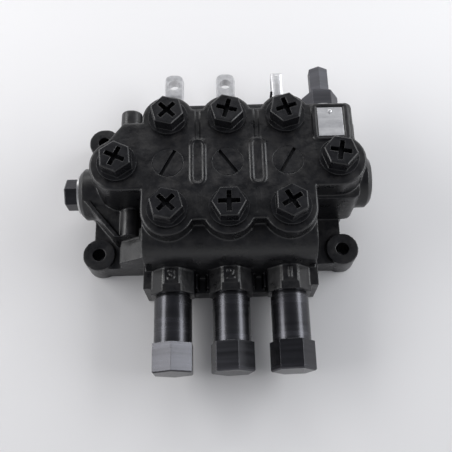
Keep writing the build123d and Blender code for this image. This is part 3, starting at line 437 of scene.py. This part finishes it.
class VALVE_OT_body(bpy.types.Operator):
    """Dress the casting in a skin with cast edges and raised section numbers"""

    bl_idname = "valve.body"
    bl_label = "Cast body"

    def execute(self, context):
        looks = context.scene.valve_body
        bm = bmesh.new()
        bm.from_mesh(NODES["valve_body"].data)
        bmesh.ops.remove_doubles(bm, verts=bm.verts, dist=WELD_DISTANCE)
        surface = BVHTree.FromBMesh(bm)
        y = BOSS_FACE + looks.numeral_setback
        for x, text in zip(SECTIONS, SECTION_NUMBERS):
            seat = surface.ray_cast(Vector((x, y, BODY_TOP + MM)), Vector((0.0, 0.0, -1.0)))[0]
            if seat is None:
                raise RuntimeError(f"the casting has no surface under section number {text}")
            mesh = numeral_mesh(text, looks)
            mesh.transform(Matrix.Translation(seat))
            bm.from_mesh(mesh)
            bpy.data.meshes.remove(mesh)
        mesh = bpy.data.meshes.new("casting_draft")
        bm.to_mesh(mesh)
        bm.free()
        skin = settle(self.soften(mesh, looks), "casting_skin")
        skin.data.shade_smooth()
        give(skin, "black_casting")
        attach(skin, "housing")
        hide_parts("valve_body")
        return {"FINISHED"}

    def soften(self, mesh, looks):
        """The casting with rounded edges and the slow waves of a sand mould."""
        draft = add_object("casting_draft", mesh)
        grid = draft.modifiers.new("grid", "REMESH")
        grid.mode = "VOXEL"
        grid.voxel_size = looks.edge_voxel
        soft = draft.modifiers.new("soft", "SMOOTH")
        soft.factor = 0.5
        soft.iterations = looks.soften
        waves = bpy.data.textures.new("casting_waves", "CLOUDS")
        waves.noise_scale = looks.wave_size
        waves.noise_depth = 2
        lift = draft.modifiers.new("waves", "DISPLACE")
        lift.texture = waves
        lift.texture_coords = "LOCAL"
        lift.strength = looks.wave_height
        lift.mid_level = 0.5
        fewer = draft.modifiers.new("fewer", "DECIMATE")
        fewer.ratio = looks.face_share
        return draft


class VALVE_OT_finishes(bpy.types.Operator):
    """Give every CAD node the finish that its slot names"""

    bl_idname = "valve.finishes"
    bl_label = "Finishes"

    def execute(self, context):
        for name, node in NODES.items():
            give(node, SLOTS[name])
        return {"FINISHED"}


class VALVE_OT_caps(bpy.types.Operator):
    """Dress the spring caps"""

    bl_idname = "valve.caps"
    bl_label = "Spring caps"

    def execute(self, context):
        dress("spring_cap")
        return {"FINISHED"}


class VALVE_OT_plugs(bpy.types.Operator):
    """Dress the port plugs, the side plugs and the load check plugs"""

    bl_idname = "valve.plugs"
    bl_label = "Plugs"

    def execute(self, context):
        dress("port_plug")
        dress("side_plug_left")
        dress("side_plug_right")
        dress("load_check_plug", "black_casting")
        return {"FINISHED"}


class VALVE_OT_relief(bpy.types.Operator):
    """Dress the relief valve's collar and cap"""

    bl_idname = "valve.relief"
    bl_label = "Relief valve"

    def execute(self, context):
        dress("relief_cartridge", "relief_steel")
        dress("relief_cap", "relief_steel")
        return {"FINISHED"}


class VALVE_OT_plate(bpy.types.Operator):
    """Dress the bare plate and its rivet"""

    bl_idname = "valve.plate"
    bl_label = "Plate"

    def execute(self, context):
        dress("name_plate")
        return {"FINISHED"}


class VALVE_OT_stage(bpy.types.Operator):
    """Set the camera, the floor and the lights"""

    bl_idname = "valve.stage"
    bl_label = "Stage"

    def execute(self, context):
        scene = context.scene
        self.camera(scene)
        self.floor(scene.valve_stage)
        self.lights(scene, scene.valve_stage)
        scene.view_settings.view_transform = "Standard"
        return {"FINISHED"}

    def camera(self, scene):
        level = math.cos(CAMERA_ELEVATION)
        ahead = Vector((math.sin(CAMERA_AZIMUTH) * level, math.cos(CAMERA_AZIMUTH) * level,
                        -math.sin(CAMERA_ELEVATION)))
        right = Vector((math.cos(CAMERA_AZIMUTH), -math.sin(CAMERA_AZIMUTH), 0.0))
        up = right.cross(ahead)
        side = right * math.cos(CAMERA_ROLL) + up * math.sin(CAMERA_ROLL)
        top = up * math.cos(CAMERA_ROLL) - right * math.sin(CAMERA_ROLL)
        data = bpy.data.cameras.new("camera")
        data.sensor_width = SENSOR_WIDTH
        data.lens = CAMERA_LENS
        data.clip_start = 0.02
        data.clip_end = 20.0
        camera = add_object("camera", data)
        turn = Matrix((side, top, -ahead)).transposed().to_4x4()
        camera.matrix_world = Matrix.Translation(CAMERA_PLACE) @ turn
        scene.camera = camera

    def floor(self, looks):
        bm = bmesh.new()
        bmesh.ops.create_grid(bm, x_segments=24, y_segments=24, size=3.0)
        mesh = bpy.data.meshes.new("floor")
        bm.to_mesh(mesh)
        bm.free()
        floor = add_object("floor", mesh)
        material, net, shader = new_material("floor_card", Roughness=0.85, Specular_IOR_Level=0.15)
        # Painted shade: the floor's colour darkens towards the front (lower Y) to stand in for the fall-off
        # of the light from behind.
        parts = net.add("ShaderNodeSeparateXYZ", {"Vector": net.place()})
        painted_shade_toward_front = net.span(parts.outputs["Y"], 0.16, -0.26)
        painted_front_shade_colour = tuple(0.86 * share for share in looks.floor)
        net.feed(shader.inputs["Base Color"], net.mix(painted_shade_toward_front, (*looks.floor, 1.0), (*painted_front_shade_colour, 1.0)))
        floor.data.materials.append(material)

    def lights(self, scene, looks):
        def area(name, place, size, power, colour=(1.0, 1.0, 1.0)):
            data = bpy.data.lights.new(name, "AREA")
            data.shape = "RECTANGLE"
            data.size, data.size_y = size
            data.energy = power
            data.color = colour
            lamp = add_object(name, data)
            lamp.location = place
            lamp.rotation_euler = (Vector(LIGHT_AIM) - Vector(place)).to_track_quat("-Z", "Y").to_euler()

        side_power = looks.side_power
        area("left", (-SIDE_LIGHT_REACH, 0.15, 0.62), SIDE_LIGHT_SIZE, side_power)
        area("right", (SIDE_LIGHT_REACH, 0.15, 0.62), SIDE_LIGHT_SIZE, side_power, (0.96, 0.98, 1.0))
        area("rear", REAR_LIGHT_PLACE, REAR_LIGHT_SIZE, looks.rear_power)
        world = bpy.data.worlds.new("world")
        scene.world = world
        world.use_nodes = True
        net = Net(world.node_tree)
        around = net.add("ShaderNodeTexCoord").outputs["Generated"]
        height = net.add("ShaderNodeSeparateXYZ", {"Vector": around}).outputs["Z"]
        sky = net.mix(net.span(height, 0.05, 0.8), HORIZON, ZENITH)
        net.feed(world.node_tree.nodes["Background"].inputs["Color"], sky)


PANEL_ROWS = (
    ("valve_body", ("valve.finishes", "valve.body")),
    ("valve_rims", ("valve.caps", "valve.plugs", "valve.relief", "valve.plate")),
    ("valve_stage", ("valve.stage",)),
)


class VALVE_PT_panel(bpy.types.Panel):
    """Panel with the valve's operators and sizes"""

    bl_idname = "VALVE_PT_panel"
    bl_label = "Directional control valve"
    bl_space_type = "VIEW_3D"
    bl_region_type = "UI"
    bl_category = "Valve"

    def draw(self, context):
        for group, operators in PANEL_ROWS:
            box = self.layout.box()
            settings = getattr(context.scene, group)
            for key in settings.bl_rna.properties.keys():
                if key not in ("rna_type", "name"):
                    box.prop(settings, key)
            for operator in operators:
                box.operator(operator)


CLASSES = (VALVE_PG_body, VALVE_PG_rims, VALVE_PG_stage, VALVE_OT_finishes, VALVE_OT_body, VALVE_OT_caps,
           VALVE_OT_plugs, VALVE_OT_relief, VALVE_OT_plate, VALVE_OT_stage, VALVE_PT_panel)


def register():
    for cls in CLASSES:
        bpy.utils.register_class(cls)
    bpy.types.Scene.valve_body = PointerProperty(type=VALVE_PG_body)
    bpy.types.Scene.valve_rims = PointerProperty(type=VALVE_PG_rims)
    bpy.types.Scene.valve_stage = PointerProperty(type=VALVE_PG_stage)


def unregister():
    del bpy.types.Scene.valve_stage
    del bpy.types.Scene.valve_rims
    del bpy.types.Scene.valve_body
    for cls in reversed(CLASSES):
        bpy.utils.unregister_class(cls)


def main():
    register()
    make_materials(bpy.context.scene.valve_body.paint)
    bpy.ops.valve.finishes()
    bpy.ops.valve.body()
    bpy.ops.valve.caps()
    bpy.ops.valve.plugs()
    bpy.ops.valve.relief()
    bpy.ops.valve.plate()
    bpy.ops.valve.stage()


if __name__ == "__main__":
    main()
